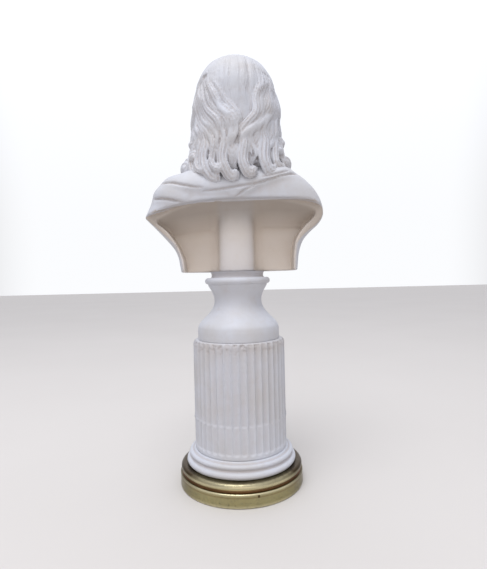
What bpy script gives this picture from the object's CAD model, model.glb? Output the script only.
from math import cos, pi, radians, sin
import bpy
import numpy as np
from mathutils import Matrix, Vector


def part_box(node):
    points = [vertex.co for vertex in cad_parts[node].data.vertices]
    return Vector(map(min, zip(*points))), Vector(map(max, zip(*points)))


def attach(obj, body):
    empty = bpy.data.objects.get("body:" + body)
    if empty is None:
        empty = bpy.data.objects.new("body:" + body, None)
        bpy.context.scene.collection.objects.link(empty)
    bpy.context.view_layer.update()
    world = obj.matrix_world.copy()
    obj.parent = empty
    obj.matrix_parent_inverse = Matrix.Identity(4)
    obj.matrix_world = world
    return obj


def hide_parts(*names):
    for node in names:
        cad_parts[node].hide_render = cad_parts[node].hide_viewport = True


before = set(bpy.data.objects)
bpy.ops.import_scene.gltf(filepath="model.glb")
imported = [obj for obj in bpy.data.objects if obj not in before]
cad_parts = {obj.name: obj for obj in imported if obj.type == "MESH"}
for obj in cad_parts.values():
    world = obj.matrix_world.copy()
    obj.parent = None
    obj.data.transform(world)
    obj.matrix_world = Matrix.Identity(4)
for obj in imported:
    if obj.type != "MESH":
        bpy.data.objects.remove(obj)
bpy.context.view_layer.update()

# ------------------
# Camera, floor and light. A short lens stands close behind the bust at the height of its socle,
# so the plinth is seen from above and the shoulders from below. The light is a wide white
# ceiling with a weak warm bounce from the table.
# ------------------
MM = 0.001
CAMERA_PLACE = (-5.0, 360.0, 167.3)
CAMERA_PITCH = -0.75
CAMERA_ROLL = -1.35
LENS_FOR_36_MM = 27.2

view = bpy.data.cameras.new("view")
view.lens = LENS_FOR_36_MM
view.sensor_width = 36.0
view.clip_start = 0.01
viewer = bpy.data.objects.new("viewer", view)
bpy.context.scene.collection.objects.link(viewer)
look = Matrix.Rotation(pi, 4, "Z") @ Matrix.Rotation(radians(90 + CAMERA_PITCH), 4, "X")
look = look @ Matrix.Rotation(radians(CAMERA_ROLL), 4, "Z")
viewer.matrix_world = Matrix.Translation(Vector(CAMERA_PLACE) * MM) @ look
bpy.context.scene.camera = viewer
bpy.context.scene.view_settings.view_transform = "Standard"


class Wire:
    """One output of a node, so that sums on it can be written as plain arithmetic."""

    def __init__(self, tree, socket):
        self.tree = tree
        self.socket = socket

    def node(self, kind, settings=None, inputs=None, output=0):
        """Add a node: settings first, then a value or a Wire for each named or numbered input."""
        made = self.tree.nodes.new(kind)
        for key, value in (settings or {}).items():
            setattr(made, key, value)
        for key, value in (inputs or {}).items():
            if isinstance(value, Wire):
                self.tree.links.new(value.socket, made.inputs[key])
            else:
                made.inputs[key].default_value = value
        return Wire(self.tree, made.outputs[output]), made

    def math(self, operation, *values):
        return self.node("ShaderNodeMath", {"operation": operation}, dict(enumerate(values)))[0]

    def __add__(self, other):
        return self.math("ADD", self, other)

    def __sub__(self, other):
        return self.math("SUBTRACT", self, other)

    def __mul__(self, other):
        return self.math("MULTIPLY", self, other)

    def __truediv__(self, other):
        return self.math("DIVIDE", self, other)

    def __pow__(self, other):
        return self.math("POWER", self, other)

    def __rsub__(self, other):
        return self.math("SUBTRACT", other, self)

    def __neg__(self):
        return self.math("MULTIPLY", self, -1.0)

    __radd__ = __add__
    __rmul__ = __mul__

    def math_abs(self):
        return self.math("ABSOLUTE", self)

    def mix(self, amount, under, over):
        inputs = {0: amount, 6: under, 7: over}
        return self.node("ShaderNodeMix", {"data_type": "RGBA"}, inputs, 2)[0]

    def step(self, start, end):
        """0 before start and 1 after end, with a soft slope between."""
        names = {"Value": self, "From Min": start, "From Max": end}
        return self.node("ShaderNodeMapRange", {"interpolation_type": "SMOOTHSTEP"}, names)[0]

    def ramp(self, start, end):
        """0 before start and 1 after end, straight between."""
        return self.node("ShaderNodeMapRange", None, {"Value": self, "From Min": start, "From Max": end})[0]


class Finish:
    """A material in the making: its tree, its shader and the patterns that its colours are mixed by."""

    def __init__(self, name, roughness=0.5, metallic=0.0, **sockets):
        self.material = bpy.data.materials.new(name)
        self.material.use_nodes = True
        self.tree = self.material.node_tree
        self.shader = self.tree.nodes["Principled BSDF"]
        self.start = Wire(self.tree, None)
        self.place = self.start.node("ShaderNodeTexCoord", output=3)[0]
        self.shader.inputs["Roughness"].default_value = roughness
        self.shader.inputs["Metallic"].default_value = metallic
        for name, value in sockets.items():
            self.shader.inputs[name.replace("_", " ")].default_value = value

    def noise(self, scale, detail=3.0, roughness=0.55, stretch=None):
        """A cloud pattern from 0 to 1. The scale is its size per metre."""
        place = self.place
        if stretch:
            place = self.start.node("ShaderNodeMapping", None, {"Vector": place, "Scale": stretch})[0]
        inputs = {"Vector": place, "Scale": scale, "Detail": detail, "Roughness": roughness}
        return self.start.node("ShaderNodeTexNoise", None, inputs)[0]

    def cells(self, scale):
        return self.start.node("ShaderNodeTexVoronoi", None, {"Vector": self.place, "Scale": scale})[0]

    def painted(self, name):
        """A value that was laid on the mesh, point by point."""
        return self.start.node("ShaderNodeAttribute", {"attribute_name": name}, output=2)[0]

    def mix(self, amount, under, over):
        return self.start.mix(amount, under, over)

    def colour(self, wire):
        self.tree.links.new(wire.socket, self.shader.inputs["Base Color"])

    def rough(self, wire):
        self.tree.links.new(wire.socket, self.shader.inputs["Roughness"])

    def relief(self, height, depth):
        """Raise the surface by the pattern. The depth is in metres."""
        inputs = {"Height": height, "Distance": depth, "Strength": 1.0}
        bump = self.start.node("ShaderNodeBump", None, inputs)[0]
        self.tree.links.new(bump.socket, self.shader.inputs["Normal"])


def plain_floor():
    """A square of pale paper, wide enough that its edge is far behind the bust."""
    floor_mesh = bpy.data.meshes.new("floor")
    reach = 6.0
    corners = [(-reach, -reach, 0), (reach, -reach, 0), (reach, reach, 0), (-reach, reach, 0)]
    floor_mesh.from_pydata(corners, [], [(0, 1, 2, 3)])
    floor = bpy.data.objects.new("floor", floor_mesh)
    bpy.context.scene.collection.objects.link(floor)
    paper = Finish("pale_floor", roughness=0.9)
    paper.colour(paper.mix(paper.noise(3.0), (0.56, 0.53, 0.50, 1), (0.60, 0.57, 0.54, 1)))
    floor_mesh.materials.append(paper.material)


def soft_box(name, place, size, power, colour):
    """A round soft lamp that points at the middle of the column."""
    lamp = bpy.data.lights.new(name, "AREA")
    lamp.shape = "DISK"
    lamp.size = size
    lamp.energy = power
    lamp.color = colour
    holder = bpy.data.objects.new(name, lamp)
    bpy.context.scene.collection.objects.link(holder)
    holder.location = place
    holder.rotation_euler = (Vector((0, 0, 0.2)) - Vector(place)).to_track_quat("-Z", "Y").to_euler()


plain_floor()
soft_box("ceiling", (0.2, 0.5, 1.4), 0.9, 11.0, (0.94, 0.96, 1.0))
soft_box("table_bounce", (0.0, 0.75, 0.04), 0.5, 0.55, (1.0, 0.76, 0.56))
room = bpy.data.worlds.new("room")
room.use_nodes = True
sky = Wire(room.node_tree, None)
direction = sky.node("ShaderNodeTexCoord")[0]
sideways = sky.node("ShaderNodeSeparateXYZ", None, {"Vector": direction})[0].math_abs().step(0.42, 0.7)
upwards = sky.node("ShaderNodeSeparateXYZ", None, {"Vector": direction}, output=2)[0].step(0.1, 0.9)
glow = sky.mix(sideways, (0.97, 0.98, 1.0, 1), (0.36, 0.35, 0.36, 1))
glow = sky.mix(upwards, glow, (1.12, 1.15, 1.25, 1))
background = room.node_tree.nodes["Background"]
room.node_tree.links.new(glow.socket, background.inputs["Color"])
background.inputs["Strength"].default_value = 1.0
bpy.context.scene.world = room

# ------------------
# Felt pad, turned wooden core and the fastenings. They are made of what the real ones are and
# keep their machined shapes: pressed felt glued under a beech disc, a zinc-plated rod that runs
# up the middle with its nuts and washer, cork rings between the stones, and a plaster plug.
# ------------------


def felt_finish():
    felt = Finish("green_felt", roughness=0.95, Sheen_Weight=0.4, Sheen_Roughness=0.5)
    fibres = felt.noise(2600.0, 4.0)
    felt.colour(felt.mix(fibres, (0.02, 0.075, 0.035, 1), (0.05, 0.15, 0.075, 1)))
    felt.relief(fibres, 0.0003)
    return felt.material


def wood_finish():
    wood = Finish("turned_beech", roughness=0.55)
    grain = wood.noise(60.0, 5.0, 0.6, stretch=(1.0, 9.0, 9.0))
    pores = wood.noise(900.0, 2.0, 0.5, stretch=(1.0, 12.0, 12.0))
    wood.colour(wood.mix(grain * 0.8 + pores * 0.2, (0.33, 0.19, 0.09, 1), (0.55, 0.37, 0.21, 1)))
    wood.relief(pores, 0.0001)
    return wood.material


def steel_finish():
    steel = Finish("zinc_plated_steel", roughness=0.38, metallic=1.0)
    bloom = steel.noise(420.0, 4.0)
    steel.colour(steel.mix(bloom, (0.42, 0.43, 0.44, 1), (0.62, 0.62, 0.6, 1)))
    steel.rough(0.28 + 0.25 * bloom)
    return steel.material


def cork_finish():
    cork = Finish("ground_cork", roughness=0.85)
    grains = cork.cells(900.0)
    cork.colour(cork.mix(grains * 1.3, (0.5, 0.32, 0.17, 1), (0.27, 0.16, 0.08, 1)))
    cork.relief(grains, 0.0002)
    return cork.material


def plaster_finish():
    plaster = Finish("cast_plaster", roughness=0.8)
    chalk = plaster.noise(300.0, 4.0)
    plaster.colour(plaster.mix(chalk, (0.72, 0.69, 0.63, 1), (0.83, 0.81, 0.76, 1)))
    plaster.relief(chalk, 0.0001)
    return plaster.material


kept_as_machined = (
    (felt_finish(), ("felt_pad",)),
    (wood_finish(), ("plinth_core",)),
    (plaster_finish(), ("anchor_plug",)),
    (cork_finish(), ("shaft_gasket", "socle_gasket", "bust_gasket")),
    (steel_finish(), ("neck_dowel", "anchor_nut", "tie_rod", "rod_washer", "rod_nut")),
)
for finish, nodes in kept_as_machined:
    for node in nodes:
        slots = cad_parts[node].data.materials
        slots.clear()
        slots.append(finish)

# ------------------
# Gilt plinth. A skirt of spun sheet brass, gilded once and rubbed since: plain band, thin bead,
# groove and fat roll. It drops over the wooden core and three small brass pins hold it there.
# ------------------
SKIRT_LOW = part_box("plinth_skirt")[0][2] / MM
SKIRT_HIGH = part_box("plinth_skirt")[1][2] / MM
SKIRT_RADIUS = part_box("plinth_skirt")[1][0] / MM
SKIRT_WALL = 1.5


def bow(start, end, bulge, count):
    """Points on an arc from start to end, without the end. The bulge is the height over half the chord."""
    start = np.array(start, float)
    chord = np.array(end, float) - start
    side = np.array((chord[1], -chord[0])) / 2
    points = []
    for t in np.linspace(0, 1, count, endpoint=False):
        turn = (2 * t - 1) * 2 * np.arctan(bulge)
        radius_share = (1 + bulge**2) / (2 * bulge)
        ahead = 0.5 + 0.5 * radius_share * np.sin(turn)
        out = radius_share * (np.cos(turn) - 1) + bulge
        points.append(tuple(start + ahead * chord + out * side))
    return points


def run(start, end, count):
    """Points on a straight line from start to end, without the end."""
    start = np.array(start, float)
    reach = np.array(end, float) - start
    return [tuple(start + t * reach) for t in np.linspace(0, 1, count, endpoint=False)]


def outline(start, *steps):
    """Points from start through (radius, height, bulge, count) steps. A bulge of 0 makes a straight run."""
    points = []
    for radius, height, bulge, count in steps:
        end = (radius, height)
        points += bow(start, end, bulge, count) if bulge else run(start, end, count)
        start = end
    return points


def new_piece(name, points, faces, finish, painted=None):
    """A named, smooth-shaded mesh in metres from points in millimetres."""
    mesh = bpy.data.meshes.new(name)
    mesh.from_pydata((np.asarray(points) * MM).tolist(), [], faces)
    for label, values in (painted or {}).items():
        layer = mesh.attributes.new(label, "FLOAT", "POINT")
        layer.data.foreach_set("value", np.asarray(values, np.float32))
    mesh.polygons.foreach_set("use_smooth", [True] * len(mesh.polygons))
    mesh.materials.append(finish)
    mesh.update()
    piece = bpy.data.objects.new(name, mesh)
    bpy.context.scene.collection.objects.link(piece)
    return piece


def turned(name, profile, finish, uneven, seed, segments=256):
    """Turn a closed outline of (radius, height) about the axis, with the small wobble of hand finishing."""
    profile = np.array(profile)
    count = len(profile)
    angle = np.linspace(0, 2 * pi, segments, endpoint=False)
    rng = np.random.default_rng(seed)
    wobble = np.zeros((segments, count))
    for harmonic in range(2, 9):
        phase = rng.uniform(0, 2 * pi)
        rise = rng.uniform(-0.25, 0.25)
        wobble += np.sin(harmonic * angle[:, None] + phase + rise * profile[None, :, 1]) / harmonic
    radius = profile[None, :, 0] + uneven * wobble * (profile[None, :, 0] > 12)
    points = np.stack([radius * np.cos(angle)[:, None], radius * np.sin(angle)[:, None],
                       np.broadcast_to(profile[None, :, 1], radius.shape)], axis=-1).reshape(-1, 3)
    ring, place = np.meshgrid(np.arange(segments), np.arange(count), indexing="ij")
    beyond = (ring + 1) % segments
    above = (place + 1) % count
    faces = np.stack([ring * count + place, beyond * count + place, beyond * count + above,
                      ring * count + above], axis=-1).reshape(-1, 4)
    back = np.roll(profile, 1, axis=0)
    ahead = np.roll(profile, -1, axis=0)
    first = (profile - back) / np.linalg.norm(profile - back, axis=1)[:, None]
    second = (ahead - profile) / np.linalg.norm(ahead - profile, axis=1)[:, None]
    bend = first[:, 0] * second[:, 1] - first[:, 1] * second[:, 0]
    gap = (np.linalg.norm(profile - back, axis=1) + np.linalg.norm(ahead - profile, axis=1)) / 2
    curved = np.clip(bend / np.maximum(gap, 0.2), -1, 1)
    softened = np.convolve(np.concatenate([curved[-2:], curved, curved[:2]]), np.ones(5) / 5, "valid")
    layers = {"hollow": np.tile(np.clip(-softened * 2.5, 0, 1), segments),
              "edge": np.tile(np.clip(softened * 2.5, 0, 1), segments)}
    return new_piece(name, points, faces.tolist(), finish, layers)


def gilt_finish():
    gilt = Finish("worn_gilding", roughness=0.42, metallic=0.94)
    cloud = gilt.noise(70.0, 5.0, 0.6)
    mottle = gilt.noise(420.0, 4.0, 0.65)
    gold = gilt.mix(cloud, (0.30, 0.265, 0.125, 1), (0.44, 0.39, 0.21, 1))
    gold = gilt.mix(mottle.step(0.42, 0.72) * 0.6, gold, (0.26, 0.25, 0.15, 1))
    across, split = gilt.start.node("ShaderNodeSeparateXYZ", None, {"Vector": gilt.place})
    height = Wire(gilt.tree, split.outputs[2])
    gold = gilt.mix(gilt.painted("edge") * 0.55, gold, (0.80, 0.73, 0.50, 1))
    toned = across.math_abs().step(0.029, 0.05) * (0.55 + 0.45 * height.step(0.008, 0.012))
    toned = toned + height.step(0.0152, 0.0172) * (0.35 + 0.65 * cloud)
    gold = gilt.mix(toned * (0.6 + 0.6 * mottle), gold, (0.06, 0.038, 0.016, 1))
    gold = gilt.mix(gilt.painted("hollow") * 0.9, gold, (0.16, 0.075, 0.035, 1))
    low = 1.0 - height.step(0.001, 0.0075)
    specks = gilt.noise(1500.0, 2.0, 0.7).step(0.6, 0.66) * (0.25 + 0.75 * low)
    gold = gilt.mix(specks, gold, (0.035, 0.028, 0.018, 1))
    gilt.colour(gold)
    gilt.rough(0.2 + 0.22 * mottle + 0.3 * specks)
    gilt.relief(mottle - 0.6 * specks, 0.00012)
    return gilt.material


BAND_TOP = 9.5
BEAD_DEPTH = 0.9
BEAD_TOP = 10.7
ROLL = 2.85
FLANGE_RADIUS = 31.0
ROLL_INSIDE = 46.95
STEP_INSIDE = 9.8
CORNER = 0.3
roll_root = SKIRT_RADIUS - 0.6 - ROLL
groove_top = SKIRT_HIGH - ROLL - ROLL + 0.25
inside = SKIRT_RADIUS - SKIRT_WALL
under_flange = SKIRT_HIGH - SKIRT_WALL
skirt_outline = outline(
    (inside, SKIRT_LOW), (SKIRT_RADIUS - CORNER, SKIRT_LOW, 0, 3),
    (SKIRT_RADIUS, SKIRT_LOW + CORNER, 0.4, 4), (SKIRT_RADIUS - 0.1, BAND_TOP, 0, 12),
    (SKIRT_RADIUS - BEAD_DEPTH, BEAD_TOP, 0.75, 9), (roll_root + 0.4, groove_top, -0.35, 8),
    (roll_root, SKIRT_HIGH, 0.95, 22), (FLANGE_RADIUS, SKIRT_HIGH, 0, 6),
    (FLANGE_RADIUS, under_flange, 0, 2), (ROLL_INSIDE, under_flange, 0, 4),
    (ROLL_INSIDE, STEP_INSIDE, 0, 3), (inside, STEP_INSIDE, 0, 2), (inside, SKIRT_LOW, 0, 3),
)
skirt = turned("gilt_skirt", skirt_outline, gilt_finish(), 0.06, 11)
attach(skirt, "root")
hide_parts("plinth_skirt")


def nodes_for(name, sizes):
    """An empty geometry tree with one named float input for each size, and the sizes as Wires."""
    tree = bpy.data.node_groups.new(name, "GeometryNodeTree")
    tree.interface.new_socket("Geometry", in_out="OUTPUT", socket_type="NodeSocketGeometry")
    for label in sizes:
        tree.interface.new_socket(label, in_out="INPUT", socket_type="NodeSocketFloat")
    entry = tree.nodes.new("NodeGroupInput")
    return tree, {label: Wire(tree, entry.outputs[label]) for label in sizes}


def finished_mesh(name, tree, sizes, geometry, finish):
    """End the tree, run it with its sizes and keep the result as a plain mesh piece."""
    start = Wire(tree, None)
    real = start.node("GeometryNodeRealizeInstances", None, {0: geometry})[0]
    smooth = start.node("GeometryNodeSetShadeSmooth", None, {0: real})[0]
    dressed = start.node("GeometryNodeSetMaterial", None, {"Geometry": smooth, "Material": finish})[0]
    leave = tree.nodes.new("NodeGroupOutput")
    tree.links.new(dressed.socket, leave.inputs[0])
    holder = bpy.data.objects.new(name + "_tree", bpy.data.meshes.new(name + "_tree"))
    bpy.context.scene.collection.objects.link(holder)
    modifier = holder.modifiers.new("tree", "NODES")
    modifier.node_group = tree
    for item in tree.interface.items_tree:
        if item.in_out == "INPUT":
            modifier[item.identifier] = float(sizes[item.name])
    depsgraph = bpy.context.evaluated_depsgraph_get()
    mesh = bpy.data.meshes.new_from_object(holder.evaluated_get(depsgraph))
    holder.modifiers.remove(modifier)
    bpy.data.objects.remove(holder)
    mesh.name = name
    if not mesh.materials:
        mesh.materials.append(finish)
    piece = bpy.data.objects.new(name, mesh)
    bpy.context.scene.collection.objects.link(piece)
    return piece


def pin_finish():
    pin = Finish("darkened_brass", roughness=0.45, metallic=1.0)
    tarnish = pin.noise(1800.0, 3.0)
    pin.colour(pin.mix(tarnish, (0.05, 0.035, 0.018, 1), (0.17, 0.12, 0.06, 1)))
    pin.relief(tarnish, 0.00008)
    return pin.material


def skirt_pins():
    """Three domed pins: a dome placed on each corner of a three-sided ring, facing outwards."""
    low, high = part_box("skirt_pins")
    sizes = {"Ring radius": SKIRT_RADIUS * MM, "Ring height": (low[2] + high[2]) / 2, "Head radius": 0.00095,
             "Dome height": 0.75, "First turn": radians(104.6)}
    tree, given = nodes_for("plinth_pins", sizes)
    start = Wire(tree, None)
    ring = start.node("GeometryNodeMeshCircle", None, {"Vertices": 3, "Radius": given["Ring radius"]})[0]
    turn = start.node("ShaderNodeCombineXYZ", None, {"Z": given["First turn"]})[0]
    lift = start.node("ShaderNodeCombineXYZ", None, {"Z": given["Ring height"]})[0]
    raised = {"Geometry": ring, "Translation": lift, "Rotation": turn}
    ring = start.node("GeometryNodeTransform", None, raised)[0]
    ball = start.node("GeometryNodeMeshUVSphere", None,
                      {"Segments": 24, "Rings": 14, "Radius": given["Head radius"]})[0]
    squash = start.node("ShaderNodeCombineXYZ", None, {"X": 1.0, "Y": 1.0, "Z": given["Dome height"]})[0]
    dome = start.node("GeometryNodeTransform", None, {"Geometry": ball, "Scale": squash})[0]
    place = start.node("GeometryNodeInputPosition")[0]
    flat = start.node("ShaderNodeVectorMath", {"operation": "MULTIPLY"}, {0: place, 1: (1.0, 1.0, 0.0)})[0]
    facing = start.node("FunctionNodeAlignRotationToVector", {"axis": "Z"}, {"Vector": flat})[0]
    placed = start.node("GeometryNodeInstanceOnPoints", None,
                        {"Points": ring, "Instance": dome, "Rotation": facing})[0]
    return finished_mesh("plinth_pins", tree, sizes, placed, pin_finish())


pins = skirt_pins()
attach(pins, "root")
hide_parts("skirt_pins")

# ------------------
# Column base. One turned block of white marble: two fat rolls with a quirk between them, under
# a plain fillet. It is rubbed smooth but not polished, and dust has settled in its quirks.
# ------------------


def marble_finish(name, strands=0.0, scooped=False):
    """Rubbed white marble. Strands adds fine combing, and scooped adds the worn tones of the open back."""
    stone = Finish(name, roughness=0.62, Subsurface_Weight=0.0)
    cloud = stone.noise(28.0, 4.0, 0.55)
    body = stone.mix(cloud.step(0.3, 0.75), (0.535, 0.548, 0.597, 1), (0.49, 0.482, 0.49, 1))
    film = stone.noise(160.0, 5.0, 0.6).step(0.5, 0.8)
    body = stone.mix(film * 0.22, body, (0.46, 0.40, 0.36, 1))
    dust = stone.painted("hollow")
    grime = dust * (0.55 + 0.45 * stone.noise(700.0, 3.0))
    body = stone.mix(grime * 0.42, body, (0.34, 0.26, 0.21, 1))
    if scooped:
        worn = stone.mix(cloud, (0.71, 0.59, 0.455, 1), (0.65, 0.53, 0.41, 1))
        body = stone.mix(stone.painted("warm"), body, worn)
        body = stone.mix(stone.painted("roof"), body, (0.195, 0.165, 0.14, 1))
    pits = stone.cells(620.0)
    dots = (1.0 - pits.step(0.035, 0.075)) * stone.noise(90.0, 2.0).step(0.52, 0.62)
    body = stone.mix(dots * 0.7, body, (0.22, 0.16, 0.12, 1))
    stone.colour(body)
    stone.rough(0.52 + 0.2 * film + 0.12 * dust)
    tooth = stone.noise(1900.0, 3.0, 0.6)
    swell = stone.noise(240.0, 3.0)
    height = 0.35 * tooth + 0.65 * swell - 0.5 * dots
    if strands:
        height = height + strands * stone.noise(1000.0, 2.0, 0.5, stretch=(1.0, 1.0, 0.1))
    stone.relief(height, 0.00022)
    return stone.material


marble = marble_finish("rubbed_marble")
BASE_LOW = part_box("column_base")[0][2] / MM
BASE_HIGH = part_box("column_base")[1][2] / MM
BORE = 3.4
base_outline = outline(
    (BORE, BASE_LOW), (42.4, BASE_LOW, 0, 6), (42.9, 22.9, 0.88, 22), (41.6, 24.5, -0.42, 8),
    (40.8, 28.0, 0.86, 18), (39.2, 28.7, -0.3, 5), (38.4, BASE_HIGH, 0.25, 5), (BORE, BASE_HIGH, 0, 6),
    (BORE, BASE_LOW, 0, 3),
)
base = turned("double_roll_base", base_outline, marble, 0.14, 5)
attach(base, "root")
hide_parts("column_base")

# ------------------
# Column shaft. A marble drum with forty round-ended flutes. Below the cabling line each flute
# holds a low rounded rib. The upper ends are rough and pitted, where the tool left them.
# ------------------
AROUND_EACH_FLUTE = 12
SHAFT_ROWS = 152
shaft_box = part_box("column_shaft")
shaft_sizes = {"Radius": shaft_box[1][0], "Bottom": shaft_box[0][2], "Top": shaft_box[1][2],
               "Bore": BORE * MM, "Flutes": 40.0, "Depth": 0.00145, "Cabling top": 0.055, "Rim": 0.003,
               "Flute margin": 0.0028, "Flute end": 0.0026, "Rib": 0.00012, "Wear": 0.00014}


def fluted_shaft():
    """A grid is rolled up into a drum. Across it run the flutes, and along it the closed outline."""
    tree, size = nodes_for("fluted_shaft", shaft_sizes)
    start = Wire(tree, None)
    around = int(shaft_sizes["Flutes"]) * AROUND_EACH_FLUTE
    inputs = {"Size X": 1.0, "Size Y": 1.0, "Vertices X": around + 1, "Vertices Y": SHAFT_ROWS}
    grid = start.node("GeometryNodeMeshGrid", None, inputs)[0]
    place = start.node("GeometryNodeInputPosition")[0]
    _, split = start.node("ShaderNodeSeparateXYZ", None, {"Vector": place})
    u = Wire(tree, split.outputs[0]) + 0.5
    v = Wire(tree, split.outputs[1]) + 0.5
    wall_start, wall_end, lid_end = 0.03, 0.93, 0.98
    height = size["Top"] - size["Bottom"]
    z = size["Bottom"] + height * (v.ramp(wall_start, wall_end) - v.ramp(lid_end, 1.0))
    climb = start.math("MAXIMUM", (z - size["Top"] + size["Rim"]) / size["Rim"], 0.0)
    drop = size["Rim"] * (1.0 - start.math("SQRT", start.math("MAXIMUM", 1.0 - climb * climb, 0.0)))
    reach = size["Radius"] - drop - size["Bore"]
    radius = size["Bore"] + reach * v.ramp(0.0, wall_start) * (1.0 - v.ramp(wall_end, lid_end))
    share = start.math("FRACT", u * size["Flutes"])
    bowl = start.math("SINE", share * pi) ** 0.65
    off = share * 2.0 - 1.0
    arch = size["Flute end"] * (1.0 - start.math("SQRT", start.math("MAXIMUM", 1.0 - off * off, 0.0)))
    below_top = (size["Top"] - 0.0002 - z) / 0.0016
    above_foot = (z - size["Bottom"] - size["Flute margin"] - arch) / 0.0016
    window = below_top.step(0.0, 1.0) * above_foot.step(0.0, 1.0)
    cabled = ((size["Cabling top"] - z) / 0.0012).step(-0.5, 0.5)
    cut = bowl * window * (1.0 - 0.3 * cabled)
    rib_share = start.math("MAXIMUM", 1.0 - (off / 0.62) * (off / 0.62), 0.0)
    rib = start.math("SQRT", rib_share) * cabled * window
    around_line = (z - size["Cabling top"]) / 0.0009
    knot = start.math("EXPONENT", -(around_line * around_line)) * off**16 * window
    angle = u * (2 * pi)
    cosine = start.math("COSINE", angle)
    sine = start.math("SINE", angle)
    plain = start.node("ShaderNodeCombineXYZ", None, {"X": radius * cosine, "Y": radius * sine, "Z": z})[0]
    inputs = {"Vector": plain, "Scale": 330.0, "Detail": 4.0, "Roughness": 0.65}
    rough = start.node("ShaderNodeTexNoise", None, inputs)[0]
    off_lid = 1.0 - v.ramp(wall_end, lid_end)
    top_share = ((z - size["Top"]) / 0.012 + 1.0).step(0.0, 0.8) * off_lid
    pitted = rough.step(0.52, 0.66) * top_share
    on_wall = v.ramp(0.0, wall_start) * off_lid
    radius = radius - size["Depth"] * cut + size["Rib"] * rib + 0.0006 * knot
    radius = radius + size["Wear"] * (rough - 0.5) * 2.2 * on_wall - 0.0009 * pitted
    rolled = start.node("ShaderNodeCombineXYZ", None, {"X": radius * cosine, "Y": radius * sine, "Z": z})[0]
    hollow = start.math("MINIMUM", cut * 0.5 + pitted * 1.1 + 0.35 * top_share, 1.0)
    stored = start.node("GeometryNodeStoreNamedAttribute", {"data_type": "FLOAT", "domain": "POINT"},
                        {"Geometry": grid, "Name": "hollow", "Value": hollow})[0]
    moved = start.node("GeometryNodeSetPosition", None, {"Geometry": stored, "Position": rolled})[0]
    closed = start.node("GeometryNodeMergeByDistance", None, {"Geometry": moved, "Distance": 0.00001})[0]
    return finished_mesh("fluted_drum", tree, shaft_sizes, closed, marble)


shaft = fluted_shaft()
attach(shaft, "root")
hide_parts("column_shaft")

# ------------------
# Socle. A turned marble pedestal with an upright foot, a round shoulder, a narrow waist and a
# collar roll. It carries the bust and stands in the middle of the drum.
# ------------------
SOCLE_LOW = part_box("socle")[0][2] / MM
SOCLE_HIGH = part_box("socle")[1][2] / MM


def along(heights, values, z):
    """A smooth curve through the values at the heights."""
    heights = np.asarray(heights, float)
    values = np.asarray(values, float)
    slopes = np.gradient(values, heights)
    z = np.clip(z, heights[0], heights[-1])
    index = np.clip(np.searchsorted(heights, z) - 1, 0, len(heights) - 2)
    span = heights[index + 1] - heights[index]
    t = (z - heights[index]) / span
    first = (1 + 2 * t) * (1 - t) ** 2 * values[index] + t * (1 - t) ** 2 * span * slopes[index]
    return first + t**2 * (3 - 2 * t) * values[index + 1] + t**2 * (t - 1) * span * slopes[index + 1]


waist_heights = (125.5, 129.5, 133.0, 137.0, 141.4, 145.6, 149.7, 153.9, 158.0, 161.6, 163.2)
waist_radii = (33.7, 32.9, 30.5, 26.4, 22.6, 20.3, 19.6, 20.1, 21.8, 24.0, 24.6)
waist = [(float(along(waist_heights, waist_radii, z)), float(z)) for z in np.linspace(125.6, 163.0, 46)]
FOOT_RADIUS = 33.7
FOOT_TOP = 125.4
socle_outline = outline((BORE, SOCLE_LOW), (33.4, SOCLE_LOW, 0, 6), (FOOT_RADIUS, SOCLE_LOW + 0.4, 0.4, 3),
                        (FOOT_RADIUS, FOOT_TOP, 0, 8))
socle_outline += waist
socle_outline += outline((24.5, 163.3), (24.4, 168.6, 0.96, 16), (21.6, 169.5, -0.45, 5),
                         (22.8, SOCLE_HIGH, -0.3, 6))
socle_outline += outline((23.4, SOCLE_HIGH), (BORE, SOCLE_HIGH, 0, 5), (BORE, SOCLE_LOW, 0, 4))
pedestal = turned("waisted_socle", socle_outline, marble, 0.16, 23)
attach(pedestal, "root")
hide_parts("socle")

# ------------------
# Chest and cloak. One block of marble, hollowed behind with a round post left standing in the
# middle. The cloak lies over both shoulders in heavy rolled folds, and its edge hangs over the
# top of the hollow. It is worked here as clay: masses are joined, rolls laid on and creases cut.
# ------------------
HEAD_X = -1.9


def merge(a, b, soft):
    """The union of two distances, with a fillet about as wide as soft."""
    near = np.maximum(soft - np.abs(a - b), 0) / soft
    return np.minimum(a, b) - near * near * soft / 4


def smooth_path(points, spacing=2.2):
    """Points about a spacing apart on a smooth curve through the given rows."""
    points = np.asarray(points, float)
    rows = []
    padded = np.vstack([2 * points[0] - points[1], points, 2 * points[-1] - points[-2]])
    for i in range(1, len(padded) - 2):
        before, start, end, after = padded[i - 1 : i + 3]
        count = max(2, int(np.linalg.norm((end - start)[:3]) / spacing))
        for t in np.linspace(0, 1, count, endpoint=False):
            curve = 2 * start + (end - before) * t + (2 * before - 5 * start + 4 * end - after) * t**2
            rows.append((curve + (3 * start - before - 3 * end + after) * t**3) / 2)
    return np.array(rows + [points[-1]])


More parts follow.
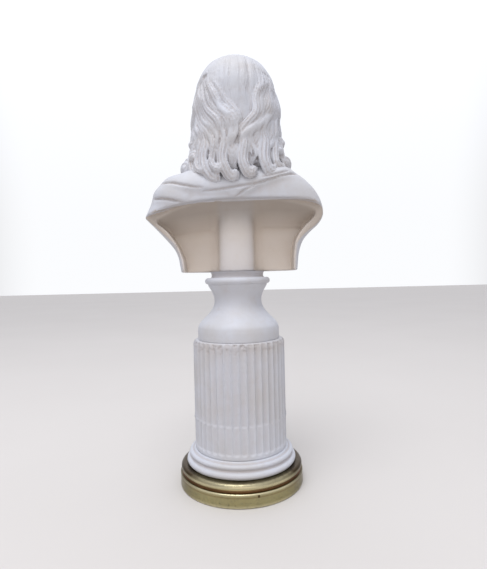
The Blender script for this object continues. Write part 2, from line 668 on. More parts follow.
class Clay:
    """A grid of distances to the surface in millimetres, negative inside, that is worked like clay."""

    def __init__(self, low, high, step):
        self.low = np.array(low, float)
        self.step = step
        counts = np.ceil((np.array(high) - self.low) / step).astype(int) + 1
        self.axes = [self.low[i] + step * np.arange(counts[i]) for i in range(3)]
        self.field = np.full(counts, 60.0)

    def window(self, low, high):
        """The part of the grid between two corners, with its coordinates."""
        part = []
        for i in range(3):
            first = int(np.clip((low[i] - self.low[i]) / self.step, 0, len(self.axes[i]) - 1))
            last = int(np.clip((high[i] - self.low[i]) / self.step + 2, first + 1, len(self.axes[i])))
            part.append(slice(first, last))
        x, y, z = (self.axes[i][part[i]] for i in range(3))
        return tuple(part), x[:, None, None], y[None, :, None], z[None, None, :]

    def everywhere(self):
        return self.window(self.low, self.low + 1e6)

    def add(self, shape, soft=1.0):
        part, x, y, z = self.everywhere()
        self.field = merge(self.field, shape(x, y, z), soft)

    def cut(self, shape, soft=1.0):
        part, x, y, z = self.everywhere()
        self.field = -merge(-self.field, shape(x, y, z), soft)

    def egg(self, centre, radii, soft=2.0, dent=False):
        """Join an ellipsoid, or press one in."""
        centre = np.array(centre, float)
        radii = np.array(radii, float)
        reach = radii + soft + 1
        part, x, y, z = self.window(centre - reach, centre + reach)
        p = [(x - centre[0]) / radii[0], (y - centre[1]) / radii[1], (z - centre[2]) / radii[2]]
        size = np.sqrt(p[0] ** 2 + p[1] ** 2 + p[2] ** 2)
        slope = np.sqrt((p[0] / radii[0]) ** 2 + (p[1] / radii[1]) ** 2 + (p[2] / radii[2]) ** 2)
        distance = size * (size - 1) / np.maximum(slope, 1e-6)
        old = self.field[part]
        self.field[part] = -merge(-old, distance, soft) if dent else merge(old, distance, soft)

    def roll(self, path, outward, wide, deep, soft=1.0, strands=0, groove=0.0, dent=False):
        """Lay a tapering roll along a path: an oval section, wide across and deep outwards."""
        reach = float(np.max(wide)) + soft + 1
        box, *_ = self.window(path.min(0) - reach, path.max(0) + reach)
        best = np.full(self.field[box].shape, 60.0)
        corner = np.array([s.start for s in box])
        steps = np.diff(path, axis=0)
        lengths = np.linalg.norm(steps, axis=1)
        for i in range(len(steps)):
            if lengths[i] < 1e-6:
                continue
            low = np.minimum(path[i], path[i + 1]) - reach
            high = np.maximum(path[i], path[i + 1]) + reach
            part, x, y, z = self.window(low, high)
            ahead = steps[i] / lengths[i]
            across = np.cross(ahead, outward[i])
            across /= max(np.linalg.norm(across), 1e-6)
            out = np.cross(across, ahead)
            dx, dy, dz = x - path[i][0], y - path[i][1], z - path[i][2]
            s = dx * ahead[0] + dy * ahead[1] + dz * ahead[2]
            v = dx * across[0] + dy * across[1] + dz * across[2]
            w = dx * out[0] + dy * out[1] + dz * out[2]
            t = np.clip(s / lengths[i], 0, 1)
            beyond = s - t * lengths[i]
            width = wide[i] + (wide[i + 1] - wide[i]) * t
            depth = deep[i] + (deep[i + 1] - deep[i]) * t
            size = np.sqrt((v / width) ** 2 + (w / depth) ** 2 + (beyond / np.minimum(width, depth)) ** 2)
            distance = (size - 1) * np.minimum(width, depth)
            if strands:
                ripple = np.cos(pi * strands * v / width)
                distance = distance + groove * ripple * np.clip(w / depth + 0.6, 0, 1)
            inner = tuple(slice(p.start - c, p.stop - c) for p, c in zip(part, corner))
            best[inner] = np.minimum(best[inner], distance)
        old = self.field[box]
        self.field[box] = -merge(-old, best, soft) if dent else merge(old, best, soft)

    def skin(self):
        """The surface as points and outward-facing quads, one point in each cell that it crosses."""
        field = self.field
        inside = field < 0
        cells = tuple(n - 1 for n in field.shape)
        total = np.zeros(cells + (3,))
        count = np.zeros(cells)
        crossings = []
        for axis in range(3):
            near = [slice(None)] * 3
            far = [slice(None)] * 3
            near[axis] = slice(0, -1)
            far[axis] = slice(1, None)
            a, b = field[tuple(near)], field[tuple(far)]
            crossed = inside[tuple(near)] != inside[tuple(far)]
            crossings.append((crossed, inside[tuple(near)]))
            share = np.where(crossed, a / np.where(crossed, a - b, 1), 0)
            others = [k for k in range(3) if k != axis]
            for first in (0, 1):
                for second in (0, 1):
                    pick = [slice(None)] * 3
                    pick[others[0]] = slice(first, first + cells[others[0]])
                    pick[others[1]] = slice(second, second + cells[others[1]])
                    hit = crossed[tuple(pick)]
                    total[..., axis] += np.where(hit, share[tuple(pick)], 0)
                    total[..., others[0]] += hit * first
                    total[..., others[1]] += hit * second
                    count += hit
        used = count > 0
        number = np.full(cells, -1)
        number[used] = np.arange(used.sum())
        points = np.argwhere(used) + total[used] / count[used][:, None]
        faces = []
        for axis in range(3):
            crossed, starts_inside = crossings[axis]
            others = [k for k in range(3) if k != axis]
            trim = [slice(None)] * 3
            trim[others[0]] = slice(1, -1)
            trim[others[1]] = slice(1, -1)
            where = np.argwhere(crossed[tuple(trim)])
            leaving = starts_inside[tuple(trim)][tuple(where.T)]
            where[:, others[0]] += 1
            where[:, others[1]] += 1
            ring = []
            for first, second in ((1, 1), (0, 1), (0, 0), (1, 0)):
                cell = where.copy()
                cell[:, others[0]] -= first
                cell[:, others[1]] -= second
                ring.append(number[tuple(cell.T)])
            quad = np.stack(ring, axis=-1)
            flip = leaving if axis != 1 else ~leaving
            quad[~flip] = quad[~flip][:, ::-1]
            faces.append(quad)
        return points, np.vstack(faces)

    def hollow_at(self, points, reach):
        """How far the surface lies in a hollow at each point, 0 on open ground and 1 in a deep crease."""
        hop = max(1, int(round(reach / self.step)))
        lap = -6 * self.field
        for axis in range(3):
            for way in (-hop, hop):
                lap = lap + np.roll(self.field, way, axis)
        cell = np.clip(np.rint(points).astype(int), 0, np.array(self.field.shape) - 1)
        return np.clip(-lap[tuple(cell.T)] / (hop * self.step) * 0.9, 0, 1)

    def piece(self, name, finish, reach=1.6, smoothing=1, dusty=None):
        points, faces = self.skin()
        marks = {"hollow": self.hollow_at(points, reach)}
        if dusty:
            marks.update(dusty(*(self.low + points * self.step).T))
        made = new_piece(name, self.low + points * self.step, faces.tolist(), finish, marks)
        if smoothing:
            ease = made.modifiers.new("ease", "SMOOTH")
            ease.factor = 0.5
            ease.iterations = smoothing
            depsgraph = bpy.context.evaluated_depsgraph_get()
            eased = bpy.data.meshes.new_from_object(made.evaluated_get(depsgraph))
            made.modifiers.remove(ease)
            old = made.data
            made.data = eased
            bpy.data.meshes.remove(old)
            eased.name = name
        return made


def outline_distance(x, y, right, left, front, back, square_front, square_back):
    """Distance from an upright wall whose plan is an oval, with its own reach and squareness each way."""
    half = np.where(x > 0, right, left)
    reach = np.where(y > 0, back, front)
    power = np.where(y > 0, square_back, square_front)
    size = ((np.abs(x) / half) ** power + (np.abs(y) / reach) ** power) ** (1 / power)
    size = np.maximum(size, 1e-4)
    return np.sqrt(x * x + y * y) * (1 - 1 / size) * 0.96


# height, half width on the right, half width on the left, reach in front, reach behind
body_levels = (
    (170, 46, 49.8, 27, 22.5), (173.6, 46, 49.8, 27, 22.5), (180, 46.9, 50.4, 29.5, 22.7),
    (186, 48, 51, 32, 23), (192, 50.6, 52.4, 35, 23.4), (199, 56, 55.6, 37.5, 24),
    (205, 61.4, 61, 39.5, 24.6), (211, 67, 67.6, 41, 25.4), (215.5, 71.4, 70.6, 41.6, 26.2),
    (218.5, 74, 71.6, 41.9, 26.6), (222, 72.6, 71.6, 42, 27.2), (227, 70.2, 70.6, 41.5, 28),
    (233, 67.6, 68.2, 40, 28.6), (238, 64.8, 65, 37.8, 29), (243, 62.2, 60.6, 35, 29),
    (247, 57, 56.2, 32, 28.6), (251, 48.5, 50, 28.5, 27.6), (255, 38.5, 40, 24.5, 25.5),
    (258, 30, 31, 21, 22.5),
)
body_z, *body_rows = zip(*body_levels)
BODY_TOP = 258.0
SQUARE_FRONT = 2.5
SQUARE_BACK = 3.4
BODY_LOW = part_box("draped_shoulders")[0][2] / MM


def body_mass(x, y, z, shrink=0.0):
    right, left, front, back = (along(body_z, row, z) - shrink for row in body_rows)
    wall = outline_distance(x, y, right, left, front, back, SQUARE_FRONT, SQUARE_BACK)
    top = BODY_TOP - shrink - 0.006 * (x * x + y * y) ** 0.5
    return np.maximum(wall * 0.85, z - top)


def cloak_edge(x):
    """The height of the cloak's lower edge at the back."""
    return 229.4 - np.where(x > 0, 0.0019, 0.0003) * x * x - 0.022 * np.maximum(-x - 57, 0) ** 2


def rim_plane(x, z):
    """How far back the rim of the hollow lies."""
    return 21.4 + 0.02 * (z - 174) - 0.0021 * x * x


def under_edge(x, y, z):
    """Below its edge the cloak stands proud of the rim by a few millimetres, more towards the sides."""
    return np.maximum(z - cloak_edge(x), rim_plane(x, z) - y)


def back_hollow(x, y, z):
    """The scooped space, open behind and below, with a coved roof that rises to the cloak's edge."""
    left_side = along((170, 182, 197, 208, 215, 226), (41.5, 42.4, 48.5, 56.5, 64.5, 69), z)
    right_side = along((170, 186, 200, 209, 216, 226), (45.8, 46.2, 49.0, 55.5, 62.5, 67), z)
    side = np.where(x > 0, left_side, right_side)
    rise = np.clip((22.5 - y) / 22.5, 0, 1)
    hollow = np.maximum(np.abs(x) - side, -2.0 - y)
    hollow = -merge(-hollow, cloak_edge(x) + 0.6 - 19.0 * rise**1.3 - z, 4.0)
    post = (((np.abs(x) / 14.4) ** 2.8 + (np.maximum(y - 4, 0) / 12.5) ** 2.8) ** (1 / 2.8) - 1) * 13
    return -merge(-hollow, post, 8.0)


def on_body(x, z, front=False, lift=0.0):
    """The point of the body's surface at this width and height, and the way it faces."""
    right, left, ahead, behind = (along(body_z, row, z) for row in body_rows)
    half = right if x > 0 else left
    power = SQUARE_FRONT if front else SQUARE_BACK
    reach = ahead if front else behind
    share = min(abs(x) / half, 0.995)
    y = (1 - share**power) ** (1 / power) * reach
    facing = np.array((share ** (power - 1) / half * np.sign(x), (y / reach) ** (power - 1) / reach, 0))
    facing /= np.linalg.norm(facing)
    rise = np.clip((z - 236) / 22, 0, 1)
    facing[2] = 1.4 * rise
    facing /= np.linalg.norm(facing)
    point = np.array((x, y, z)) + lift * facing
    if front:
        point[1] *= -1
        facing[1] *= -1
    return point, facing


def lay_fold(clay, places, width, depth, soft, front=False, lift=0.0, dent=False, fade=0.35):
    """A fold of the cloak through (x, z) places, thin at both ends."""
    line = smooth_path([(x, z, 0) for x, z in places], 2.5)
    points, facing = zip(*(on_body(x, z, front, lift) for x, z, _ in line))
    share = np.linspace(0, 1, len(line))
    swell = fade + (1 - fade) * np.sin(pi * share) ** 0.7
    clay.roll(np.array(points), np.array(facing), width * swell, depth * swell, soft, dent=dent)


CLOAK_STEP = 0.85
clay = Clay((-78, -50, 170), (78, 38, 264), CLOAK_STEP)
clay.add(body_mass)


def crease(clay, places, width, depth):
    """A crisp crease pressed into the back through (x, z) places, wherever its surface now lies."""
    field = clay.field
    line = []
    for x, z, _ in smooth_path([(x, z, 0) for x, z in places], 1.4):
        i, k = (int(round((value - low) / clay.step)) for value, low in ((x, clay.low[0]), (z, clay.low[2])))
        inside = np.nonzero(field[i, :, k] < 0)[0]
        if len(inside):
            j = inside[-1]
            share = field[i, j, k] / (field[i, j, k] - field[i, j + 1, k])
            slope = [field[i + 1, j, k] - field[i - 1, j, k], field[i, j + 1, k] - field[i, j - 1, k],
                     field[i, j, k + 1] - field[i, j, k - 1]]
            line.append([x, clay.axes[1][j] + clay.step * share, z] + slope)
    line = np.array(line)
    for _ in range(4):
        line[1:-1] = (line[:-2] + 2 * line[1:-1] + line[2:]) / 4
    facing = line[:, 3:] / np.linalg.norm(line[:, 3:], axis=1)[:, None]
    swell = 0.25 + 0.75 * np.sin(pi * np.linspace(0.06, 0.94, len(line))) ** 0.6
    clay.roll(line[:, :3] + 0.2 * facing, facing, width * swell, depth * swell, 0.5, dent=True)


# the back: a broad collar and flatter folds. Each laps over the cloth below with a crisp lower edge
back_laps = [
    ([(-49, 249.4), (-43, 248.4), (-34.5, 245.7), (-24, 242.2), (-13.6, 239.7), (-1, 238.4), (9, 236.8),
      (24, 236)], 1.9, 4.2),
    ([(-42, 251.0), (-34.5, 248.2), (-21, 245.3)], 1.0, 1.6),
    ([(-14.7, 239.0), (-7.4, 235.2), (1, 229.8)], 1.5, 2.8),
    ([(65, 232.6), (55, 231.3), (46.8, 229.5), (38.4, 227.2)], 2.0, 3.8),
    ([(59, 244.4), (49, 243.4), (40.5, 241), (32, 239.2), (24, 238.4)], 1.2, 3.0),
]
for places, height, breadth in back_laps:
    lay_fold(clay, [(x, z + breadth) for x, z in places], breadth, height * 1.1, 5.0, lift=-0.1, fade=0.1)
    lay_fold(clay, [(x, z + height) for x, z in places], height, height * 1.05, 0.5, lift=0.1, fade=0.1)
for places, height, _ in back_laps:
    crease(clay, [(x, z - 0.5) for x, z in places], 0.75 + 0.25 * height, 1.0 + 0.5 * height)

# the front: a band crosses from the left shoulder, and the folds below follow it
FOLD_SPACING = 7.6
FOLD_LOW = 176.5
for k in range(8):
    drop = k * FOLD_SPACING
    places = [(60 - 2.0 * k, 239 - drop * 0.55), (36, 238 - drop * 1.05), (8, 226 - drop * 1.08),
              (-20, 214 - drop * 0.72), (-44 + k, 212 - drop * 0.45)]
    places = [(x, max(z, FOLD_LOW)) for x, z in places]
    lay_fold(clay, places, 3.6 - 0.12 * k, 3.4 - 0.14 * k, 3.2, front=True, lift=-0.5)
for k in range(7):
    drop = k * FOLD_SPACING + FOLD_SPACING / 2
    places = [(56 - 2 * k, 238 - drop * 0.55), (34, 237 - drop * 1.05), (7, 225 - drop * 1.08),
              (-20, 213 - drop * 0.72), (-42 + k, 211 - drop * 0.45)]
    places = [(x, max(z, FOLD_LOW)) for x, z in places]
    lay_fold(clay, places, 1.2, 2.2, 2.0, front=True, lift=0.8, dent=True)
for k in range(5):
    places = [(-24 - 7 * k, 250 - 1.6 * k), (-30 - 7.4 * k, 240 - 3 * k), (-33 - 7.0 * k, 226 - 3 * k),
              (-30 - 5.4 * k, 208 - k)]
    lay_fold(clay, places, 3.0, 2.8, 3.0, front=True, lift=-0.4)
# the neckline: a rolled edge that falls from both sides of the neck to the middle of the chest
necklines = (
    ([(-27, 255), (-22, 249), (-13, 243), (-3, 240), (8, 243), (18, 249), (25, 255)], 3.2, 3.4),
    ([(-33, 252), (-27, 245), (-16, 238), (-3, 234.5), (10, 238), (22, 245), (30, 252)], 2.8, 3.0),
)
for places, width, depth in necklines:
    lay_fold(clay, places, width, depth, 2.4, front=True)

clay.cut(under_edge, 1.2)
clay.cut(back_hollow, 1.6)
clay.cut(lambda x, y, z: z - BODY_LOW, 0.6)


def scooped_marks(x, y, z):
    """Where the space behind is worn warm and dull, and where it is dark under the cloak's edge."""
    near = 3.0 - back_hollow(x, y, z)
    edge = cloak_edge(x) - z
    inside = np.clip(near / 5, 0, 1) * (y < 20.5) * (y > -6)
    rim = np.clip(1.6 - np.abs(y - rim_plane(x, z)) / 0.9, 0, 1) * (edge > 0.3) * (np.abs(x) > 20)
    warm = np.maximum(inside * np.clip((np.abs(x) - 7) / 9, 0.6, 1), 0.6 * rim)
    lip = np.clip(near / 3, 0, 1) * np.clip((edge - 0.2) / 1.2, 0, 1) * (y >= 20.5)
    roof = np.maximum(inside, lip) * np.clip((27 - edge) / 20, 0, 1) ** 1.2
    return {"warm": warm, "roof": np.maximum(roof, 0.45 * rim * np.clip((z - 192) / 22, 0, 1))}


draped_marble = marble_finish("draped_marble", scooped=True)
cloak = clay.piece("cloak_and_chest", draped_marble, reach=2.0, smoothing=1, dusty=scooped_marks)
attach(cloak, "root")
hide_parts("draped_shoulders")

# ------------------
# Face and neck. The head is carved apart from the chest and set on a spigot. The face is a calm,
# general one on the usual proportions: eyes half-way up, nose a quarter below, blank carved eyes.
# ------------------
EYE_HEIGHT = 302.0
EYE_APART = 10.8
NOSE_BASE = 285.5
MOUTH_HEIGHT = 276.0
CHIN_HEIGHT = 265.5


def laid(clay, points, width, depth, soft, dent=False, taper=True, spacing=1.2, outward=(0, -1, 0)):
    """A roll or a cut along free points, placed from the middle of the head and thin at its ends."""
    path = smooth_path([(HEAD_X + x, y, z) for x, y, z in points], spacing)
    share = np.linspace(0, 1, len(path))
    swell = 0.3 + 0.7 * np.sin(pi * share) ** 0.6 if taper else np.ones(len(path))
    facing = np.tile(np.array(outward, float), (len(path), 1))
    clay.roll(path, facing, width * swell, depth * swell, soft, dent=dent)


def mirrored(*half):
    """A row of points from one side to the other, given from the middle outwards."""
    return [(-x, y, z) for x, y, z in half[:0:-1]] + list(half)


FACE_STEP = 0.55
clay = Clay((-36, -50, 240), (31, 12, 344), FACE_STEP)
# skull, cheeks, jaw, chin and the mound of the mouth, then the neck
for y, z, radii, soft in ((-2, 309, (29.5, 35.5, 37), 1), (-13, 282, (23.5, 22.5, 21), 7),
                          (-27, 268.5, (11, 9.5, 7.5), 6), (-33.2, CHIN_HEIGHT + 1.2, (7.5, 5.4, 5.2), 5),
                          (-30.6, MOUTH_HEIGHT + 0.8, (13, 7.6, 9.5), 6)):
    clay.egg((HEAD_X, y, z), radii, soft)
laid(clay, [(0, 2, 238), (0, 0, 250), (0, -1, 272)], 16.5, 16.5, 5, taper=False, spacing=6)
for side in (-1, 1):
    x = side * EYE_APART
    clay.egg((HEAD_X + side * 14.5, -25.5, 289), (9, 9, 9.5), 6)
    clay.egg((HEAD_X + x, -38.6, EYE_HEIGHT + 0.4), (7.8, 4.6, 4.8), 4.5, dent=True)
    clay.egg((HEAD_X + x, -28.9, EYE_HEIGHT - 0.4), (6.2, 5.8, 5.3), 0.6)
    brow = [(side * 3.5, -36.6, 307.4), (side * 10, -36.8, 309.6), (side * 17, -33.4, 309.2),
            (side * 21.5, -28.6, 305.8)]
    laid(clay, brow, 2.0, 1.3, 4)
    upper_lid = ((-6.6, -33.0, -1.6), (-3.4, -35.0, 1.7), (0.6, -35.3, 2.5), (4.2, -33.6, 1.3),
                 (7.0, -30.6, -1.6))
    lower_lid = ((-6.2, -33.2, -1.8), (-2.2, -34.4, -3.4), (2.2, -34.0, -3.5), (6.4, -31.0, -2.0))
    laid(clay, [(x + side * out, y, EYE_HEIGHT + up) for out, y, up in upper_lid], 0.95, 1.0, 0.7)
    laid(clay, [(x + side * out, y, EYE_HEIGHT + up) for out, y, up in lower_lid], 0.8, 0.8, 0.9)
    clay.egg((HEAD_X + side * 4.1, -38.0, NOSE_BASE + 0.9), (2.7, 4.0, 2.7), 1.6)
bridge = [(0, -33.2, 308), (0, -34.4, 302), (0, -37.2, 295), (0, -39.8, 289)]
laid(clay, bridge, 3.7, 4.6, 4.0, taper=False)
clay.egg((HEAD_X, -41.9, NOSE_BASE + 1.8), (3.7, 3.9, 3.3), 1.8)
for side in (-1, 1):
    clay.egg((HEAD_X + side * 2.2, -41.2, NOSE_BASE - 1.6), (1.1, 1.9, 1.4), 0.8, dent=True)
    wing = [(side * 7.0, -36.8, NOSE_BASE + 2.0), (side * 9.2, -36.4, NOSE_BASE - 2),
            (side * 11.2, -35.0, MOUTH_HEIGHT + 3)]
    laid(clay, wing, 0.9, 0.5, 3.0, dent=True)
laid(clay, [(0, -38.6, NOSE_BASE - 2.6), (0, -38.9, MOUTH_HEIGHT + 3.2)], 1.0, 0.9, 1.6, dent=True)
upper_lip = mirrored((0, -40.1, 277.7), (1.7, -40.1, 278.2), (4.6, -38.9, 277.3), (8.4, -36.4, 275.8))
lower_lip = mirrored((0, -39.5, 273.0), (3, -39.0, 273.4), (6.8, -37.0, 274.5))
parting = mirrored((0, -41.5, 275.4), (4, -40.6, 275.7), (8.6, -37.6, 275.8))
under_lip = mirrored((0, -40.2, 269.4), (5, -39.4, 269.8))
laid(clay, upper_lip, 1.8, 1.7, 1.2)
laid(clay, lower_lip, 2.0, 1.8, 1.2)
laid(clay, parting, 0.5, 1.1, 0.8, dent=True)
laid(clay, under_lip, 1.2, 0.8, 2.6, dent=True)
clay.cut(lambda x, y, z: 8.0 - y, 1.0)
clay.cut(lambda x, y, z: z - 242.0, 1.0)
face = clay.piece("face_and_neck", marble, reach=1.2, smoothing=2)
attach(face, "root")

# ------------------
# Hair. Carved in the same stone as the head. It lies smooth over the crown, then falls in wavy
# locks that draw together at the nape and end in curled tips on the cloak. Each lock has a few
# deep strand grooves, and the gaps under the tips are drilled out.
# ------------------
# height, half width, reach in front, reach behind
hair_levels = (
    (241, 36, 14, 24), (250, 37, 20, 30.5), (259, 36.8, 24, 32.5), (272, 35.2, 24, 34),
    (290, 33.9, 25, 36.5), (308, 33.6, 28, 37.5), (322, 31.4, 33, 37), (334, 26.6, 31, 32),
    (342.2, 18.8, 23, 23.5), (346.5, 11, 13, 14), (348.5, 3.4, 4, 5),
)
hair_z, hair_half, hair_front, hair_back = zip(*hair_levels)
HAIR_TOP = 348.3
SQUARE = 2.2


def hair_mass(x, y, z):
    half, front, back = (along(hair_z, row, z) - 1.3 for row in (hair_half, hair_front, hair_back))
    half, front, back = (np.maximum(row, 1.0) for row in (half, front, back))
    wall = outline_distance(x - HEAD_X, y, half, half, front, back, SQUARE, SQUARE) * 0.9
    return np.maximum(np.maximum(wall, 254.0 - z), z - 347.6)


def on_hair(turn, z, lift=0.0):
    """The point of the hair's surface at a turn in degrees from straight behind, and the way it faces."""
    s, c = sin(radians(turn)), cos(radians(turn))

    def reach(height):
        half = max(float(along(hair_z, hair_half, height)), 2.0)
        depth = max(float(along(hair_z, hair_back if c > 0 else hair_front, height)), 2.0)
        return 1 / ((abs(s) / half) ** SQUARE + (abs(c) / depth) ** SQUARE) ** (1 / SQUARE)

    radius = reach(z)
    slope = (reach(min(z + 1.5, HAIR_TOP + 0.1)) - reach(z - 1.5)) / 3.0
    facing = np.array((s, c, -slope))
    facing /= np.linalg.norm(facing)
    return np.array((HEAD_X + radius * s, radius * c, z)) + (lift - 1.0) * facing, facing


def lock(clay, places, width, depth, soft=0.9, strands=3, groove=0.3, blunt=0.45):
    """A lock through (turn, height, lift) places, narrow at its root and round at its end."""
    line = smooth_path([(t * 0.65, z, lift) for t, z, lift in places], 1.8)
    points, facing = zip(*(on_hair(t / 0.65, min(z, HAIR_TOP), lift) for t, z, lift in line))
    share = np.linspace(0, 1, len(line))
    ending = 1 - (1 - blunt) * (np.maximum(share - 0.8, 0) / 0.2) ** 2
    swell = np.minimum(0.35 + 1.8 * share, 1.0) * ending
    clay.roll(np.array(points), np.array(facing), width * swell, depth * swell, soft, strands, groove)


flow_heights = (343, 335, 318, 302, 288, 274, 262, 252, 244)
flow = (
    (-84, -80, -86, -80, -66, -58, -57, -54, -53),
    (-72, -68, -76, -68, -55, -43, -38, -39, -44),
    (-64, -61, -66, -54, -44, -33, -30, -31, -38),
    (-54, -52, -53, -41, -34, -24, -23, -24, -26),
    (-43, -42, -41, -34, -26, -16, -15, -16, -17),
    (-32, -31, -30, -26, -18, -9, -7, -6, -5),
    (20, 20, 28, 11, 0, -2, -2, -1, 0),
    (38, 38, 41, 29, 14, 7, 5, 5, 6),
    (54, 55, 58, 44, 34, 20, 15, 12, 9),
    (65, 66, 70, 60, 47, 36, 25, 24, 28),
    (74, 74, 80, 73, 61, 50, 39, 33, 34),
    (86, 85, 90, 85, 72, 60, 53, 48, 45),
)


def flow_turn(k, z):
    """The turn of guide line k at a height. Lines between two guides lie between them."""
    first = int(min(max(k, 0), len(flow) - 2))
    heights = flow_heights[::-1]
    low, high = (float(along(heights, flow[i][::-1], z)) for i in (first, first + 1))
    return low + (k - first) * (high - low)


HAIR_STEP = 0.72
hair_marble = marble_finish("combed_marble", strands=1.3)
clay = Clay((-52, -44, 236), (47, 46, 352), HAIR_STEP)
clay.add(hair_mass)
rng = np.random.default_rng(40)

# fine strands over the crown, sinking in where the locks begin
for turn in np.arange(-176, 180, 6.0):
    sway = rng.uniform(-2.5, 2.5)
    end = rng.uniform(296, 308) if abs(turn) < 40 else rng.uniform(318, 330)
    places = [(turn * 0.95, 346.5, -0.1), (turn, 340, 0.1), (turn + sway, 328, 0.1),
              (turn + 0.4 * sway, (328 + end) / 2, 0.0), (turn + 2 * sway, end, -0.9)]
    lock(clay, places, rng.uniform(1.6, 2.3), 1.05, soft=0.9, strands=2, groove=0.2, blunt=0.3)

# broad wavy locks, then narrower ones that cross over them
for k in np.arange(0, 11.01, 0.5):
    if 5.2 < k < 5.8:
        continue
    top = rng.uniform(320, 334) if 3 < k < 8 else rng.uniform(336, 343)
    shift = rng.uniform(-0.1, 0.1)
    lift = rng.uniform(-0.3, 0.9)
    wave = 0.8 * k + rng.uniform(-0.6, 0.6)
    places = []
    for z in np.linspace(top, rng.uniform(250, 256), 18):
        swing = 1.2 + 2.6 * np.clip((318 - z) / 40, 0, 1)
        places.append((flow_turn(k + shift, z) + swing * sin(z / 4.2 + wave), z,
                       min(lift + 0.8 * sin(z / 4.0 + wave), (top - z) / 10 - 1)))
    lock(clay, places, rng.uniform(2.7, 3.7), rng.uniform(1.9, 2.5), soft=0.45, strands=3, groove=0.3)
for k in np.arange(0.25, 11.0, 0.62):
    if 5.1 < k < 6.0:
        continue
    top = rng.uniform(298, 318)
    wave = 0.8 * k + rng.uniform(0.2, 1.6)
    places = []
    for z in np.linspace(top, rng.uniform(256, 268), 13):
        places.append((flow_turn(k, z) + 4.4 * sin(z / 4.6 + wave), z,
                       min(2.1 + 0.8 * sin(z / 3.3 + wave), (top - z) / 7 - 1)))
    lock(clay, places, rng.uniform(1.4, 2.0), 1.7, soft=0.45, strands=1, groove=0.2, blunt=0.3)

# the curled tips along the nape
tips = [
    (52, 262, 46, 252.0, 2.6), (64, 264, 57, 251.0, 3.2), (44, 262, 33, 246.4, 3.9),
    (30, 262, 25, 252.0, 2.4), (18, 261, 8, 247.2, 3.5), (-8, 261, -15, 249.2, 3.4),
    (-35, 263, -42, 250.4, 4.3), (-52, 262, -57, 253.5, 3.2), (-70, 264, -76, 256.0, 3.4),
    (74, 264, 80, 257.0, 3.2),
]
for start, height, end, low, width in tips:
    hook = 6 if end > start else -6
    middle = (start + end) / 2
    places = [(start - 0.6 * hook, height + 22, 0.2), (start + 0.4 * hook, height + 11, 1.4),
              (start, height, 2.6), (middle - hook * 0.5, (height + low) / 2, 4.0),
              (end - 0.3 * hook, low + 1.0, 4.8), (end + 0.7 * hook, low + 0.2, 5.2),
              (end + 1.0 * hook, low + 2.8, 4.6)]
    lock(clay, places, width * 1.15, 3.0, soft=0.6, strands=3, groove=0.45, blunt=0.7)
    point, _ = on_hair(end + 0.55 * hook, low + 1.4, 4.2)
    clay.egg(point, (3.0, 2.6, 2.8), 0.8)

# the sides and the hair that frames the face, parted over the forehead
for side in (-1, 1):
    for j in range(9):
        base_turn = 88 + 8.0 * j
        wave = rng.uniform(0, 2 * pi)
        low = 252 + 1.5 * j + rng.uniform(-1.5, 1.5)
        levels = np.linspace(338 - 0.8 * j, low, 13)
        places = []
        for z in levels:
            pull = np.clip((z - 300) / 40, 0, 1) ** 1.5 * (1.6 * j - 2)
            swing = (3.5 + 2.2 * np.clip((300 - z) / 40, 0, 1)) * sin(z / 7.5 + wave)
            lift = min(1.2 + 1.1 * sin(z / 6.0 + wave), (levels[0] - z) / 8 - 1.6)
            places.append((side * (base_turn + 1.2 * pull + swing), z, lift))
        lock(clay, places, rng.uniform(3.2, 4.2), rng.uniform(2.3, 2.9), strands=3, groove=0.34, blunt=0.6)
    for j in range(4):
        places = [(side * (174 - 3 * j), 344 - 2.6 * j, 0.6), (side * (160 - 4 * j), 337 - 3 * j, 1.6),
                  (side * (142 - 4 * j), 324 - 3 * j, 2.0), (side * (137 - 3 * j), 309 - 2 * j, 2.2),
                  (side * (143 - 2 * j), 294 - 2 * j, 2.4), (side * (136 - 3 * j), 279 - j, 2.6),
                  (side * (143 - 3 * j), 266, 2.4)]
        lock(clay, places, 3.6 - 0.2 * j, 2.6, strands=3, groove=0.34, blunt=0.5)


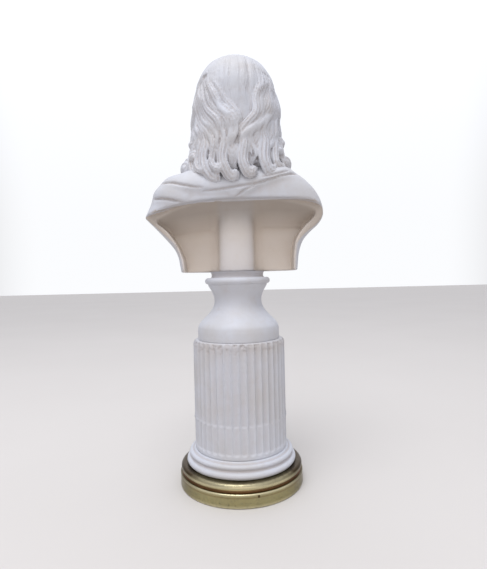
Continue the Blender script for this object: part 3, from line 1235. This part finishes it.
def curl(clay, centre, outward, radius, width, way):
    """A lock's end wound up like a snail."""
    outward = np.array(outward, float) / np.linalg.norm(outward)
    side = np.cross((0, 0, 1), outward)
    side /= np.linalg.norm(side)
    up = np.cross(outward, side)
    turn = np.linspace(-0.6 * pi, 2.1 * pi, 26)
    size = radius * np.linspace(1.5, 0.25, 26)
    circle = way * np.cos(turn)[:, None] * side + np.sin(turn)[:, None] * up
    path = np.array(centre) + size[:, None] * circle
    path += np.linspace(-1.2, 1.4, 26)[:, None] * outward
    width = width * np.linspace(0.8, 1.1, 26)
    clay.roll(path, np.tile(outward, (26, 1)), width, width, 0.7, 2, 0.25)


side_curls = (
    ((-37.6, 8, 277), (-0.8, 0.6, 0), 3.2, 2.0, 1), ((33.2, 9, 277), (0.8, 0.6, 0), 3.2, 2.0, -1),
    ((-41.0, 10, 260), (-0.6, 0.8, 0), 3.8, 2.5, 1), ((38.6, 12, 257), (0.6, 0.8, 0), 3.8, 2.5, -1),
    ((-35.5, 18, 268), (-0.6, 0.8, 0), 3.0, 2.1, -1), ((31.8, 20, 264), (0.6, 0.8, 0), 3.2, 2.2, 1),
    ((38.5, 4, 263), (0.9, 0.4, 0), 2.8, 2.1, 1), ((-41.5, 2, 258), (-0.9, 0.4, 0), 3.0, 2.2, -1),
    ((-38.0, -12, 257), (-1, -0.2, 0), 3.4, 2.2, 1), ((34.0, -12, 257), (1, -0.2, 0), 3.4, 2.2, -1),
)
for place, outward, radius, width, way in side_curls:
    curl(clay, place, outward, radius, width, way)

# the opening for the face, and the drilled gaps between the tips
clay.egg((HEAD_X, -47, 290), (23.5, 31, 43), 2.5, dent=True)
parting = [(0, -34, 334), (0, -27, 344), (0, -14, 349.5), (0, -2, 350.5)]
laid(clay, parting, 0.9, 1.6, 1.2, dent=True, outward=(0, 0, 1))
for turn, height in ((20, 251.5), (-4, 254), (-27, 254.5), (-51, 253), (50, 250.5)):
    point, facing = on_hair(turn, height, 0.5)
    clay.egg(point, (2.2, 3.4, 1.7), 1.0, dent=True)
clay.cut(lambda x, y, z: body_mass(x, y, z, 1.5), 0.6)
hair = clay.piece("wavy_hair", hair_marble, reach=1.5, smoothing=1)
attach(hair, "root")
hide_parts("head_and_hair")
